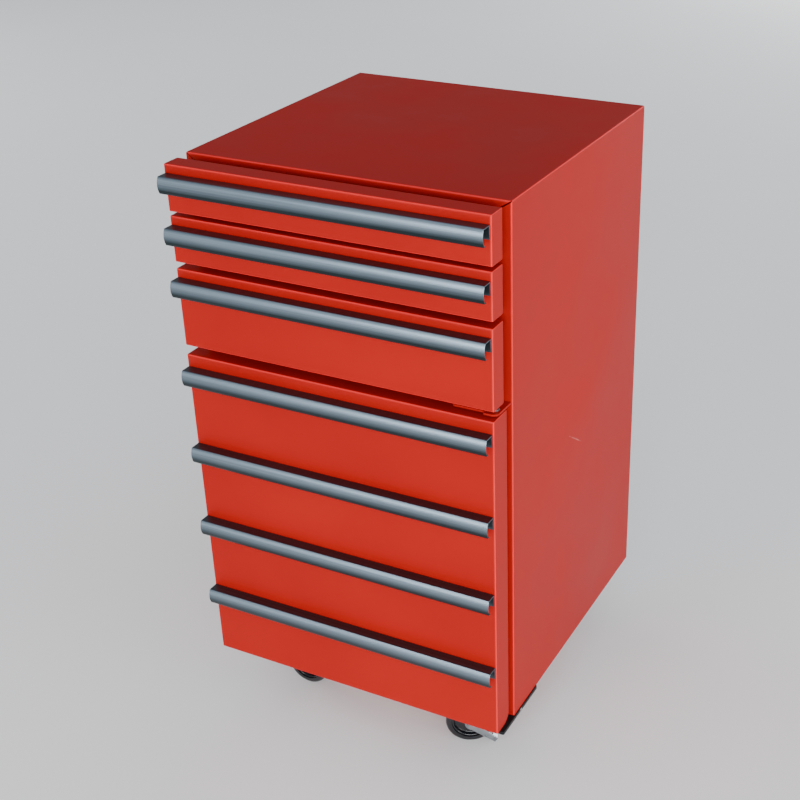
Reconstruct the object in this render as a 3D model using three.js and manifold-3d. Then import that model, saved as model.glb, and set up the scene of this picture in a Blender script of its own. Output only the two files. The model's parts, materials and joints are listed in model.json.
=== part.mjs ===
// Rolling tool chest with a cooled cupboard: three drawers over one insulated door that wears four
// false drawer pulls, on four swivel casters. Millimetres, +Z up, the front faces -Y.
// The chest is drawn in the cabinet's own frame: x = 0 on the middle, y = 0 on the steel front
// frame, z = 0 on the underside. The exported group moves that frame so that the origin lies
// on the floor under the middle of the whole object.
import * as THREE from "three";
import { mergeVertices } from "three/addons/utils/BufferGeometryUtils.js";
import Module from "manifold-3d";

const wasm = await Module();
wasm.setup();

// ---- Driving dimensions ----

// Cabinet
const cabinetWidth = 480;
const cabinetDepth = 452;
const cabinetHeight = 783.4;
const sheet = 1.2;
const bendRadius = 2.6;
const frameSide = 24;
const frameTop = 16;
const rearFlange = 14;
const mitreSlit = 0.8;
const seam = 0.3;

// Drawer fronts and door, from the top down
const faceReach = 50.3;
const frontThickness = 30.7;
const doorThickness = 39.1;
const sideReveal = 2.6;
const topReveal = 1.1;
const shallowFront = 65.9;
const deepFront = 114.7;
const gapUnderFirst = 5.6;
const gapUnderSecond = 9;
const gapUnderThird = 13.6;
const bottomReveal = 3;
const frontReturn = 12;

// Full-width pull, one extrusion used seven times
const pullDepth = 19.7;
const pullHeight = 23.6;
const pullBulge = 3.2;
const pullWall = 1.6;
const pullFlange = 18.5;
const pullLip = 3.4;
const pullInset = 2.2;
const drawerPullDrop = 12;
const doorPullDrop = 17.6;
const falseDrawers = 4;

// Trays and three-member ball slides
const trayLift = 4;
const trayHeadroom = 5;
const trayWall = 1.2;
const trayBackGap = 44;
const slideHeight = 30;
const slideThickness = 12.7;
const slideWall = 1.2;
const ballGap = 1;
const slideFrontGap = 8;
const slideBackGap = 40;
const runnerRise = 21;
const bracketLength = 24;

// Cold space
const deckDrop = 10;
const sillHeight = 26;
const gasketWidth = 12;
const gasketDrop = 3.6;
const gasketLap = 2;
const linerWall = 2;
const linerRim = 18;
const rimLap = 2;
const cavityBackWall = 54;
const bayDepth = 147;
const bayHeadroom = 22.2;
const bayInsulation = 38;
const ledgeRise = 40;
const ledgeReach = 7;
const wire = 3.6;
const wirePitch = 38;
const shelfFront = 76;

// Chiller and thermostat
const chillerSideGap = 7;
const chillerHeight = 82;
const chillerFront = 150;
const chillerBackGap = 14;
const hangerHalf = 14;
const chillerWall = 1.6;
const chillerHang = 4;
const flapThickness = 2;
const housingWidth = 30;
const housingDepth = 80;
const housingHeight = 60;
const housingFront = 72;
const housingHang = 6;
const knobRadius = 16;
const knobHeight = 12;

// Door internals, hinges and gasket
const pinInset = 11;
const pinReach = 28;
const pinRadius = 3.2;
const pinDepth = 14;
const pinPlay = 0.8;
const pinHead = 5.6;
const hingePlate = 3;
const hingeWidth = 65;
const lowerPlate = 4;
const lowerLength = 80;
const lowerGap = 4;
const heelCut = 21;
const heelMargin = 0.6;
const doorLinerWall = 1.5;
const panelLap = 3;
const dikeClearance = 14;
const rackReach = 66;
const rackRail = 40;
const rackFirst = 14;
const rackPitch = 112;

// Casters
const wheelRadius = 37.5;
const wheelWidth = 25;
const casterHead = 25;
const casterPlate = 3;
const plateLength = 80;
const plateWidth = 62;
const casterInset = 60.5;
const casterSetback = 52.2;
const casterTrail = 34;
const raceRadius = 24;
const forkWall = 2.5;
const forkPlay = 2.5;
const axleRadius = 4;
const axlePlay = 0.6;
const padGap = 2;
const padLength = 9.5;
const leverWall = 2;
const brakeOn = -37;
const brakeOff = -8;

// Compressor
const compressorRadius = 58;
const compressorHeight = 112;
const compressorFoot = 14;
const footSheet = 3;
const grommetRadius = 8;

// ---- Levels and half widths that follow from them ----

const halfWidth = cabinetWidth / 2;
const innerHalf = halfWidth - sheet;
const frameHalf = halfWidth - frameSide;
const fitHalf = innerHalf - seam;
const frontHalf = halfWidth - sideReveal;

const first = { top: cabinetHeight - topReveal, height: shallowFront };
const second = { top: first.top - shallowFront - gapUnderFirst, height: shallowFront };
const third = { top: second.top - shallowFront - gapUnderSecond, height: deepFront };
// Every tray ends as far under its front's top as the top one must to pass under the frame.
const trayDrop = frameTop - topReveal + trayHeadroom;
const doorTop = third.top - deepFront - gapUnderThird;
const doorHeight = doorTop - bottomReveal;
const doorBack = doorThickness - faceReach;
const deckTop = doorTop + deckDrop;

const deckFlange = deckDrop + gasketDrop + gasketWidth + gasketLap;
const cavityHalf = frameHalf - linerRim + rimLap;
const cavityTop = deckTop - deckFlange - linerRim + rimLap;
const cavityFloor = sillHeight + linerRim - rimLap;
const cavityBack = cabinetDepth - cavityBackWall;
const bayFront = cabinetDepth - bayDepth - bayInsulation;
const bayHeight = sheet + 2 * seam + compressorFoot + compressorHeight + bayHeadroom;
const bayTop = bayHeight + bayInsulation;
const ledgeTop = bayTop + ledgeRise;

const casterHeight = 2 * wheelRadius + casterHead;
const pinX = halfWidth - pinInset;
const pinY = -pinReach;
const gasketHalf = pinX;
const gasketLow = sillHeight - gasketLap - gasketWidth;
const gasketHigh = doorTop - gasketDrop;

// ---- Finishes ----

const finish = (color, roughness, metalness) => new THREE.MeshStandardMaterial({ color, roughness, metalness });
const redPaint = finish(0xbf3a2c, 0.32, 0.1);
const aluminium = finish(0xa9b4bb, 0.34, 0.9);
const zincSteel = finish(0xaeb4b8, 0.38, 0.9);
const blackSteel = finish(0x15181a, 0.42, 0.4);
const blackPlastic = finish(0x14171b, 0.3, 0);
const whitePlastic = finish(0xe9ebe8, 0.35, 0);
const foamCore = finish(0xd9c58a, 0.9, 0);
const gasketRubber = finish(0x6f7274, 0.7, 0);
const pumpBlack = finish(0x101112, 0.25, 0.3);

// ---- Shape helpers ----

const box = (x0, x1, y0, y1, z0, z1) =>
  new THREE.BoxGeometry(x1 - x0, y1 - y0, z1 - z0).translate((x0 + x1) / 2, (y0 + y1) / 2, (z0 + z1) / 2);

// A flat outline pushed along an axis. Outlines are [y, z] along x, [x, z] along y, [x, y] along z.
function prism(axis, outline, from, to) {
  const shape = new THREE.Shape(outline.map(([a, b]) => new THREE.Vector2(a, b)));
  const body = new THREE.ExtrudeGeometry(shape, { depth: to - from, bevelEnabled: false });
  if (axis === "x") return body.rotateX(Math.PI / 2).rotateZ(Math.PI / 2).translate(from, 0, 0);
  if (axis === "y") return body.rotateX(Math.PI / 2).translate(0, to, 0);
  return body.translate(0, 0, from);
}

// A round bar along an axis, with its centre given in the two other directions.
function rod(axis, radius, from, to, [a, b], sides = 20) {
  const bar = new THREE.CylinderGeometry(radius, radius, to - from, sides);
  const middle = (from + to) / 2;
  if (axis === "x") return bar.rotateZ(Math.PI / 2).translate(middle, a, b);
  if (axis === "y") return bar.translate(a, middle, b);
  return bar.rotateX(Math.PI / 2).translate(a, b, middle);
}

// Points on an arc, in degrees, with both ends.
function arc(a, b, radius, start, end, steps) {
  return Array.from({ length: steps + 1 }, (_, i) => {
    const angle = THREE.MathUtils.degToRad(start + ((end - start) * i) / steps);
    return [a + radius * Math.cos(angle), b + radius * Math.sin(angle)];
  });
}

function solid(shape) {
  if (!shape.isBufferGeometry) return shape;
  const bare = shape.clone();
  bare.deleteAttribute("normal");
  bare.deleteAttribute("uv");
  const merged = mergeVertices(bare, 1e-4);
  const vertProperties = Float32Array.from(merged.attributes.position.array);
  const triVerts = Uint32Array.from(merged.index.array);
  return new wasm.Manifold(new wasm.Mesh({ numProp: 3, vertProperties, triVerts }));
}

const join = (...shapes) => shapes.map(solid).reduce((whole, next) => whole.add(next));
const cut = (body, ...tools) => tools.map(solid).reduce((rest, tool) => rest.subtract(tool), solid(body));

function piece(name, material, shape, parent) {
  const { vertProperties, triVerts } = solid(shape).getMesh();
  const geometry = new THREE.BufferGeometry();
  geometry.setAttribute("position", new THREE.BufferAttribute(vertProperties, 3));
  geometry.setIndex(new THREE.BufferAttribute(triVerts, 1));
  const mesh = new THREE.Mesh(geometry.toNonIndexed(), material);
  mesh.geometry.computeVertexNormals();
  mesh.name = name;
  parent.add(mesh);
}

const chest = new THREE.Group();

// ---- Cabinet: folded shell, back panel, base pan and deck ----

// Outline of the wrap-round shell seen from the front, bent at the two top edges.
function wrapOutline(inset) {
  const side = halfWidth - inset;
  const top = cabinetHeight - inset;
  const bend = bendRadius - inset;
  return [
    [-side, 0],
    ...arc(-side + bend, top - bend, bend, 180, 90, 4),
    ...arc(side - bend, top - bend, bend, 90, 0, 4),
    [side, 0],
  ];
}

function shell() {
  const openTop = cabinetHeight - frameTop;
  const rearTop = cabinetHeight - rearFlange;
  const rearHalf = halfWidth - rearFlange;
  const wrap = cut(
    prism("y", wrapOutline(0), 0, cabinetDepth),
    prism("y", wrapOutline(sheet), sheet, cabinetDepth - sheet),
    box(-frameHalf, frameHalf, -1, cabinetDepth / 2, -1, openTop),
    box(-rearHalf, rearHalf, cabinetDepth / 2, cabinetDepth + 1, -1, rearTop),
  );
  const slits = [-1, 1].map((side) => {
    const inner = [side * frameHalf, openTop];
    const outer = [side * (halfWidth - sheet - seam), cabinetHeight - sheet - seam];
    const ends = [-mitreSlit / 2, mitreSlit / 2];
    const outline = [
      [inner[0] - side, inner[1] - 1 + ends[0]],
      [outer[0], outer[1] + ends[0]],
      [outer[0], outer[1] + ends[1]],
      [inner[0] - side, inner[1] - 1 + ends[1]],
    ];
    return prism("y", outline, -1, sheet + seam);
  });
  return cut(wrap, ...slits);
}

const glandX = -150;
const glandZ = 60;
const glandRadius = 8.7;
const glandBore = 4;
const panelFront = cabinetDepth - sheet - seam - sheet;
const ventSlots = 9;
const ventPitch = 12;
const ventLow = 30;
const ventLeft = -70;
const ventRight = 190;

function backPanel() {
  const vents = Array.from({ length: ventSlots }, (_, i) => {
    const z = ventLow + i * ventPitch;
    return box(ventLeft, ventRight, panelFront - 1, cabinetDepth, z, z + ventPitch / 3);
  });
  const top = cabinetHeight - bendRadius - seam;
  const panel = box(-fitHalf, fitHalf, panelFront, panelFront + sheet, bendRadius, top);
  const glandHole = rod("y", glandRadius + seam, panelFront - 1, cabinetDepth, [glandX, glandZ]);
  return cut(panel, glandHole, ...vents);
}

function cordGland() {
  const stem = rod("y", glandRadius, panelFront - 5, cabinetDepth, [glandX, glandZ]);
  const collar = rod("y", glandRadius + 4, panelFront + sheet + seam, cabinetDepth, [glandX, glandZ]);
  return cut(join(stem, collar), rod("y", glandBore, panelFront - 6, cabinetDepth + 1, [glandX, glandZ]));
}

const panFloor = seam + sheet;
const panEdge = 12;

function basePan() {
  const backEdge = panelFront - seam;
  return join(
    box(-fitHalf, fitHalf, sheet + seam, backEdge, seam, panFloor),
    box(-frameHalf + seam, frameHalf - seam, 0, 2 * sheet + seam, seam, panFloor),
    box(-frameHalf + seam, frameHalf - seam, 0, sheet, seam, sillHeight),
    box(-fitHalf, -fitHalf + sheet, sheet + seam, backEdge, seam, panEdge),
    box(fitHalf - sheet, fitHalf, sheet + seam, backEdge, seam, panEdge),
  );
}

function drawerDeck() {
  const backEdge = panelFront - seam;
  return join(
    box(-fitHalf, fitHalf, sheet + seam, backEdge, deckTop - sheet, deckTop),
    box(-frameHalf + seam, frameHalf - seam, 0, 2 * sheet + seam, deckTop - sheet, deckTop),
    box(-frameHalf + seam, frameHalf - seam, 0, sheet, deckTop - deckFlange, deckTop),
  );
}

piece("cabinet_shell", redPaint, shell(), chest);
piece("back_panel", zincSteel, backPanel(), chest);
piece("cord_gland", blackPlastic, cordGland(), chest);
piece("base_pan", redPaint, basePan(), chest);
piece("drawer_deck", redPaint, drawerDeck(), chest);

// ---- Cold space: liner stepped over the compressor bay, and the foam round it ----

// Side view of the cavity. grow moves every wall out by the same amount.
function cavityOutline(front, grow) {
  return [
    [front, cavityFloor - grow],
    [bayFront + grow, cavityFloor - grow],
    [bayFront + grow, bayTop - grow],
    [cavityBack + grow, bayTop - grow],
    [cavityBack + grow, cavityTop + grow],
    [front, cavityTop + grow],
  ];
}

const rimFront = sheet + seam;
const rimBack = rimFront + linerWall;

function foodLiner() {
  const outerHalf = cavityHalf + linerWall;
  const tub = join(
    prism("x", cavityOutline(rimFront, linerWall), -outerHalf, outerHalf),
    box(
      -cavityHalf - linerRim,
      cavityHalf + linerRim,
      rimFront,
      rimBack,
      cavityFloor - linerRim,
      cavityTop + linerRim,
    ),
  );
  const ledges = [-1, 1].map((side) => {
    const edges = [side * (cavityHalf + linerWall / 2), side * (cavityHalf - ledgeReach)];
    const low = ledgeTop - ledgeReach;
    return box(Math.min(...edges), Math.max(...edges), shelfFront, cavityBack, low, ledgeTop);
  });
  return join(cut(tub, prism("x", cavityOutline(0, 0), -cavityHalf, cavityHalf)), ...ledges);
}

function cabinetFoam() {
  const foamHalf = fitHalf - sheet - seam;
  const foamBack = panelFront - seam;
  const front = rimBack + seam;
  const low = panFloor + seam;
  const high = deckTop - sheet - seam;
  const outline = [
    [front, low],
    [bayFront + bayInsulation, low],
    [bayFront + bayInsulation, bayHeight],
    [foamBack, bayHeight],
    [foamBack, high],
    [front, high],
  ];
  const hollow = cavityHalf + linerWall + seam;
  return cut(
    prism("x", outline, -foamHalf, foamHalf),
    prism("x", cavityOutline(0, linerWall + seam), -hollow, hollow),
  );
}

// A round-wire shelf: a frame along its four sides, with wires from front to back across it.
function wireShelf() {
  const half = cavityHalf - seam - wire / 2;
  const back = cavityBack - seam - wire / 2;
  const front = shelfFront + wire;
  const level = ledgeTop + seam + wire / 2;
  const bar = (axis, from, to, centre) => rod(axis, wire / 2, from, to, centre, 6);
  const count = Math.floor((2 * half) / wirePitch);
  const step = (2 * half) / count;
  const places = Array.from({ length: count + 1 }, (_, i) => -half + i * step);
  const lengthwise = places.map((x) => bar("y", front, back, [x, level]));
  const across = [front, (front + back) / 2, back].map((y) => bar("x", -half, half, [y, level]));
  return join(...lengthwise, ...across);
}

piece("cabinet_foam", foamCore, cabinetFoam(), chest);
piece("food_liner", whitePlastic, foodLiner(), chest);
piece("wire_shelf", zincSteel, wireShelf(), chest);

// ---- Chiller box with its flap, thermostat, compressor ----

const chillerHalf = cavityHalf - seam - housingWidth - knobHeight - chillerSideGap;
const chillerTop = cavityTop - chillerHang;
const chillerLow = chillerTop - chillerHeight;
const flapAxisY = chillerFront - seam - flapThickness / 2;
const flapAxisZ = chillerTop - chillerWall;

function chillerBox() {
  const half = chillerHalf;
  const back = cavityBack - seam - chillerBackGap;
  const shellBox = cut(
    box(-half, half, chillerFront, back, chillerLow, chillerTop),
    box(-half + chillerWall, half - chillerWall, 0, back - chillerWall, chillerLow + chillerWall, flapAxisZ),
  );
  const hangers = [-1, 1].map((side) => {
    const x = (side * half) / 2;
    const low = chillerTop - chillerWall / 2;
    return box(x - hangerHalf, x + hangerHalf, chillerFront, back, low, cavityTop - seam);
  });
  return join(shellBox, ...hangers);
}

function chillerFlap() {
  const half = chillerHalf;
  const front = flapAxisY - flapThickness / 2;
  const lipFront = front - 2 * flapThickness;
  return join(
    box(-half, half, front, front + flapThickness, chillerLow, flapAxisZ),
    box(-half / 3, half / 3, lipFront, front + flapThickness / 2, chillerLow, chillerLow + flapThickness),
  );
}

const knobX = cavityHalf - seam - housingWidth;
const knobY = housingFront + housingDepth / 2;
const housingTop = cavityTop - housingHang;
const knobZ = housingTop - housingHeight / 2;

function thermostatHousing() {
  const low = housingTop - housingHeight;
  const back = housingFront + housingDepth;
  const outline = [
    [knobX, housingFront + housingWidth / 4],
    [knobX + housingWidth / 4, housingFront],
    [knobX + housingWidth, housingFront],
    [knobX + housingWidth, back],
    [knobX + housingWidth / 4, back],
    [knobX, back - housingWidth / 4],
  ];
  return prism("z", outline, low, housingTop);
}

function thermostatKnob() {
  const face = knobX - seam;
  const grip = face - knobHeight;
  return join(
    rod("x", knobRadius, face - knobHeight / 3, face, [knobY, knobZ], 24),
    rod("x", knobRadius * 0.82, grip + knobHeight / 4, face, [knobY, knobZ], 24),
    box(grip, face - 1, knobY - knobRadius / 5, knobY + knobRadius / 5, knobZ, knobZ + knobRadius * 0.9),
  );
}

function compressor() {
  const x = -halfWidth / 3;
  const y = (cabinetDepth + bayFront + bayInsulation) / 2;
  const base = panFloor + seam;
  const can = [
    [0, compressorFoot],
    [compressorRadius * 0.7, compressorFoot],
    [compressorRadius * 0.93, compressorFoot + compressorHeight * 0.12],
    [compressorRadius * 0.95, compressorFoot + compressorHeight * 0.45],
    [compressorRadius, compressorFoot + compressorHeight * 0.47],
    [compressorRadius, compressorFoot + compressorHeight * 0.53],
    [compressorRadius * 0.93, compressorFoot + compressorHeight * 0.55],
    [compressorRadius * 0.86, compressorFoot + compressorHeight * 0.82],
    [compressorRadius * 0.5, compressorFoot + compressorHeight * 0.98],
    [0, compressorFoot + compressorHeight],
  ].map(([r, z]) => new THREE.Vector2(r, z));
  const dome = new THREE.LatheGeometry(can, 24).rotateX(Math.PI / 2).translate(x, y, base);
  const footHalf = compressorRadius * 1.2;
  const footDepth = compressorRadius * 0.85;
  const low = base + compressorFoot - footSheet;
  const plate = box(x - footHalf, x + footHalf, y - footDepth, y + footDepth, low, low + footSheet + 1);
  const inset = grommetRadius + footSheet;
  const grommets = [-1, 1].flatMap((i) =>
    [-1, 1].map((j) => {
      const place = [x + i * (footHalf - inset), y + j * (footDepth - inset)];
      return rod("z", grommetRadius, base, base + compressorFoot + footSheet, place, 12);
    }),
  );
  return join(dome, plate, ...grommets);
}

piece("chiller_box", aluminium, chillerBox(), chest);
piece("chiller_flap", whitePlastic, chillerFlap(), chest);
piece("thermostat_housing", whitePlastic, thermostatHousing(), chest);
piece("thermostat_knob", whitePlastic, thermostatKnob(), chest);
piece("compressor", pumpBlack, compressor(), chest);

// ---- Full-width pull ----

// Section in [outward, up] from the face's top corner of the pull: a flange on the face, a flat
// top, a bowed front wall and a lip under it, open below and at both ends.
function pullSection() {
  const bow = pullHeight ** 2 / (8 * pullBulge) + pullBulge / 2;
  const centre = pullDepth - bow;
  const middle = -pullHeight / 2;
  const outerEnd = THREE.MathUtils.radToDeg(Math.asin(pullHeight / 2 / bow));
  const innerBow = bow - pullWall;
  const innerEnd = THREE.MathUtils.radToDeg(Math.asin((pullHeight / 2 - pullWall) / innerBow));
  const lipOut = pullDepth - pullBulge;
  return [
    [seam, 0],
    ...arc(centre, middle, bow, outerEnd, -outerEnd, 6),
    [lipOut - pullLip, -pullHeight],
    [lipOut - pullLip, -pullHeight + pullWall],
    ...arc(centre, middle, innerBow, -innerEnd, innerEnd, 6),
    [seam + pullWall, -pullWall],
    [seam + pullWall, -pullFlange],
    [seam, -pullFlange],
  ];
}

const pull = (top) =>
  prism(
    "x",
    pullSection().map(([out, up]) => [-faceReach - out, top + up]),
    -frontHalf + pullInset,
    frontHalf - pullInset,
  );

// ---- Drawers: folded front, tray with runners, pull, and the slides that carry them ----

// A folded pan, open at the back inside a return flange.
function foldedPan(back, low, high) {
  return cut(
    box(-frontHalf, frontHalf, -faceReach, back, low, high),
    box(-frontHalf + sheet, frontHalf - sheet, -faceReach + sheet, back - sheet, low + sheet, high - sheet),
    box(
      -frontHalf + frontReturn,
      frontHalf - frontReturn,
      back - 2 * sheet,
      back + 1,
      low + frontReturn,
      high - frontReturn,
    ),
  );
}

// A channel of a slide on the side given by sign: its web stands at x = web, its arms point to
// the drawer's middle when inward is 1 and away from it when inward is -1.
function channel(sign, web, arm, height, level, from, to, inward) {
  const reach = web - inward * arm;
  const back = web - inward * slideWall;
  const span = (a, b) => [Math.min(sign * a, sign * b), Math.max(sign * a, sign * b)];
  const half = height / 2;
  return join(
    box(...span(web, back), from, to, level - half, level + half),
    box(...span(web, reach), from, to, level + half - slideWall, level + half),
    box(...span(web, reach), from, to, level - half, level - half + slideWall),
  );
}

const slideBack = cabinetDepth - slideBackGap;
const railWeb = frameHalf - 2 * seam;
const middleWeb = railWeb - slideWall - ballGap;
const trayHalf = railWeb - slideThickness;
const middleHeight = slideHeight - 2 * (slideWall + ballGap);
const runnerHeight = middleHeight - 2 * (slideWall + ballGap);
const trayFront = -faceReach + frontThickness + seam;
const trayBack = cabinetDepth - trayBackGap;

function tray(low, height) {
  const level = low + runnerRise;
  const runnerReach = middleWeb - slideWall - ballGap;
  const runnerArm = runnerReach - trayHalf + slideWall;
  const bin = cut(
    box(-trayHalf, trayHalf, trayFront, trayBack, low, low + height),
    box(
      -trayHalf + trayWall,
      trayHalf - trayWall,
      trayFront + trayWall,
      trayBack - trayWall,
      low + trayWall,
      low + height + 1,
    ),
  );
  const runners = [-1, 1].map((sign) =>
    channel(sign, trayHalf - slideWall, runnerArm, runnerHeight, level, slideFrontGap, trayBack, -1),
  );
  return join(bin, ...runners);
}

function cabinetRail(sign, level) {
  const wall = innerHalf - seam;
  const half = slideHeight / 2 - slideWall;
  const arm = slideThickness - 2 * ballGap;
  const rail = channel(sign, railWeb, arm, slideHeight, level, slideFrontGap, slideBack, 1);
  const brackets = [slideFrontGap + bracketLength, slideBack - 2 * bracketLength].map((from) => {
    const edges = [sign * (railWeb - slideWall / 2), sign * wall];
    const to = from + bracketLength;
    return box(Math.min(...edges), Math.max(...edges), from, to, level - half, level + half);
  });
  return join(rail, ...brackets);
}

function middleMember(sign, level) {
  const arm = slideThickness - 2 * (slideWall + ballGap);
  return channel(sign, middleWeb, arm, middleHeight, level, slideFrontGap, slideBack, 1);
}

[first, second, third].forEach((drawer, i) => {
  const number = i + 1;
  const low = drawer.top - drawer.height;
  const trayLow = low + trayLift;
  const level = trayLow + runnerRise;
  piece(`drawer_front_${number}`, redPaint, foldedPan(frontThickness - faceReach, low, drawer.top), chest);
  piece(`drawer_tray_${number}`, zincSteel, tray(trayLow, drawer.height - trayLift - trayDrop), chest);
  piece(`drawer_pull_${number}`, aluminium, pull(drawer.top - drawerPullDrop), chest);
  for (const [side, sign] of [["left", -1], ["right", 1]]) {
    piece(`cabinet_rail_${number}_${side}`, zincSteel, cabinetRail(sign, level), chest);
    piece(`middle_member_${number}_${side}`, zincSteel, middleMember(sign, level), chest);
  }
});

// ---- Door: skin, foam, liner with racks, gasket and four pulls ----

// Pin holes through the skin, and the rounded heel of its side wall outside the lower pin.
function doorRelief(clearance) {
  const hole = pinRadius + pinPlay + clearance;
  const reach = heelCut + clearance;
  const heel = [
    [doorBack + 1, bottomReveal - 1],
    [doorBack + 1, bottomReveal + reach],
    ...arc(doorBack - reach, bottomReveal + reach, reach, 0, -90, 6),
    [doorBack - reach, bottomReveal - 1],
  ];
  return [
    rod("z", hole, doorTop - pinDepth - 2, doorTop + 1, [pinX, pinY]),
    rod("z", hole, bottomReveal - 1, bottomReveal + pinDepth + 2, [pinX, pinY]),
    prism("x", heel, pinX + hole + heelMargin, halfWidth),
  ];
}

function doorFoam() {
  const gap = sheet + seam;
  const half = frontHalf - gap;
  const block = box(-half, half, -faceReach + gap, doorBack - gap, bottomReveal + gap, doorTop - gap);
  return cut(block, ...doorRelief(sheet + seam));
}

const linerBack = doorBack + seam;
const linerFace = linerBack + doorLinerWall;
const rackHalf = cavityHalf - dikeClearance;

function doorLiner() {
  const low = cavityFloor + dikeClearance / 2;
  const high = chillerLow;
  const wall = linerWall;
  const sides = [-rackHalf, rackHalf - wall].map((x) =>
    box(x, x + wall, linerFace - 0.5, linerFace + rackReach, low, high),
  );
  const count = Math.floor((high - low - rackFirst - rackRail) / rackPitch) + 1;
  const racks = Array.from({ length: count }, (_, i) => low + rackFirst + i * rackPitch).flatMap((floor) => {
    return [
      box(-rackHalf, rackHalf, linerFace - 0.5, linerFace + rackReach, floor, floor + wall),
      box(-rackHalf, rackHalf, linerFace + rackReach - wall, linerFace + rackReach, floor, floor + rackRail),
    ];
  });
  const panelHalf = gasketHalf + panelLap;
  const panel = box(-panelHalf, panelHalf, linerBack, linerFace, gasketLow - panelLap, gasketHigh + panelLap);
  return join(panel, ...sides, ...racks);
}

function doorGasket() {
  const back = linerFace + seam;
  const inner = gasketHalf - gasketWidth;
  return cut(
    box(-gasketHalf, gasketHalf, back, -seam, gasketLow, gasketHigh),
    box(-inner, inner, back - 1, 0, gasketLow + gasketWidth, gasketHigh - gasketWidth),
  );
}

piece("door_skin", redPaint, cut(foldedPan(doorBack, bottomReveal, doorTop), ...doorRelief(0)), chest);
piece("door_foam", foamCore, doorFoam(), chest);
piece("door_liner", whitePlastic, doorLiner(), chest);
piece("door_gasket", gasketRubber, doorGasket(), chest);
const falsePitch = (doorHeight - doorPullDrop + trayLift) / falseDrawers;
for (let i = 0; i < falseDrawers; i += 1) {
  piece(`door_pull_${i + 1}`, aluminium, pull(doorTop - doorPullDrop - i * falsePitch), chest);
}

// ---- Hinges: a red plate in the gap over the door, a black bracket under the cabinet ----

const upperLow = doorTop + 2.4;
const upperHigh = upperLow + hingePlate;
const hingeEdge = halfWidth - sideReveal;

function upperHinge() {
  const eye = pinReach + pinInset + 2;
  const nose = eye - (hingeEdge - pinX);
  const outline = [
    [hingeEdge - hingeWidth, -pinReach - 8],
    [pinX - pinInset, -pinReach - 8],
    [pinX - pinInset, -eye],
    ...arc(pinX, -nose, hingeEdge - pinX, -90, 0, 4),
    [hingeEdge, -seam],
    [frameHalf + 1, -seam],
    [hingeEdge - hingeWidth, -pinReach / 3],
  ];
  const tab = box(frameHalf + 1, pinX - 2, -seam - hingePlate, -seam, upperLow, upperHigh + 30);
  return cut(
    join(prism("z", outline, upperLow, upperHigh), tab),
    rod("z", pinRadius + seam, upperLow - 1, upperHigh + 1, [pinX, pinY]),
  );
}

function upperPin() {
  return join(
    rod("z", pinRadius, doorTop - pinDepth, upperHigh + seam + 1, [pinX, pinY]),
    rod("z", pinHead, upperHigh + seam, upperHigh + seam + 2, [pinX, pinY], 6),
  );
}

function lowerHinge() {
  const lowerWidth = casterInset - plateWidth / 2 - lowerGap;
  const edge = halfWidth - seam;
  const eye = edge - pinX;
  const outline = [
    [edge, lowerLength - eye],
    ...arc(edge - eye / 2, lowerLength - eye / 2, eye / 2, 0, 90, 3),
    [edge - lowerWidth, lowerLength],
    [edge - lowerWidth, seam],
    [pinX - eye, pinY],
    ...arc(pinX, pinY, eye, 180, 360, 10),
  ];
  return cut(
    prism("z", outline, -seam - lowerPlate, -seam),
    rod("z", pinRadius + seam, -lowerPlate - 1, 1, [pinX, pinY]),
  );
}

function lowerPin() {
  return join(
    rod("z", pinRadius, -seam - lowerPlate, bottomReveal + pinDepth, [pinX, pinY]),
    rod("z", pinHead, 0, bottomReveal - seam, [pinX, pinY], 6),
  );
}

piece("upper_hinge", redPaint, upperHinge(), chest);
piece("upper_hinge_pin", zincSteel, upperPin(), chest);
piece("lower_hinge", blackSteel, lowerHinge(), chest);
piece("lower_hinge_pin", zincSteel, lowerPin(), chest);

// ---- Casters: plate, fork with its axle, wheel, and a brake lever on the front pair ----

const axleDrop = casterHeight - wheelRadius;
const forkInner = wheelWidth / 2 + forkPlay;
const forkOuter = forkInner + forkWall;
const leverInner = forkOuter + 2 * seam;
const leverOuter = leverInner + leverWall;

function plateSolid(x, y) {
  const holes = [-1, 1].flatMap((i) =>
    [-1, 1].map((j) => {
      const hx = x + (i * (plateWidth - 17)) / 2;
      const hy = y + (j * (plateLength - 17)) / 2;
      return rod("z", 4.2, -casterPlate - 1, 1, [hx, hy], 10);
    }),
  );
  const half = plateWidth / 2;
  const slab = box(x - half, x + half, y - plateLength / 2, y + plateLength / 2, -casterPlate, 0);
  return cut(slab, ...holes);
}

// The fork in its own frame: swivel axis on z, wheel trailing towards +x.
function fork() {
  const crown = casterPlate + seam + 6;
  const leg = [
    [-raceRadius + 4, -crown],
    [casterTrail - 4, -crown],
    ...arc(casterTrail, -axleDrop, 9, 12, -192, 8),
  ];
  const legs = [-forkOuter, forkInner].map((y) => prism("y", leg, y, y + forkWall));
  const nutEnds = leverOuter + seam;
  return join(
    rod("z", raceRadius, -crown, -casterPlate - seam, [0, 0], 24),
    box(-raceRadius + 4, casterTrail - 4, -forkOuter, forkOuter, -crown - forkWall, -crown),
    ...legs,
    rod("y", axleRadius, -nutEnds - 3, nutEnds + 3, [casterTrail, -axleDrop], 16),
    rod("y", 6.4, -nutEnds - 3, -nutEnds, [casterTrail, -axleDrop], 6),
    rod("y", 6.4, nutEnds, nutEnds + 3, [casterTrail, -axleDrop], 6),
  );
}

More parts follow.
